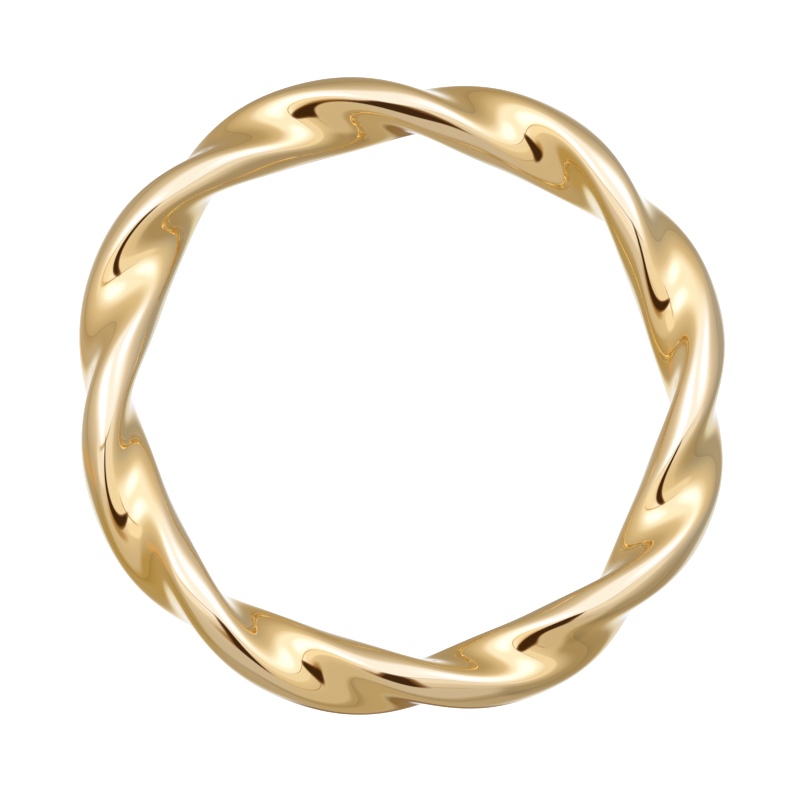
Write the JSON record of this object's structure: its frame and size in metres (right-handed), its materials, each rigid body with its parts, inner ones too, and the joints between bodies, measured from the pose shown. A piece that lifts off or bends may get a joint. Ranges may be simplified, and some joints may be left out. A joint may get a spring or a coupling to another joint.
{
  "type": "rope twist ring",
  "caption": "Plain finger ring: one rounded flat bar of polished yellow gold, twisted about its own length like a rope and closed into a hoop, lying on its side.",
  "frame": {"origin": "on the finger hole's axis, at the height of the surface that the ring lies on", "axes": "+Z along the finger hole, up from the surface; +X and +Y in the plane of the hoop, with +Y towards the top of the reference picture"},
  "size_m": [0.022, 0.022, 0.0028],
  "materials": {
    "polished_gold": "14 carat yellow gold, high polish"
  },
  "bodies": {
    "root": {"twisted_band": "polished_gold"}
  },
  "joints": []
}
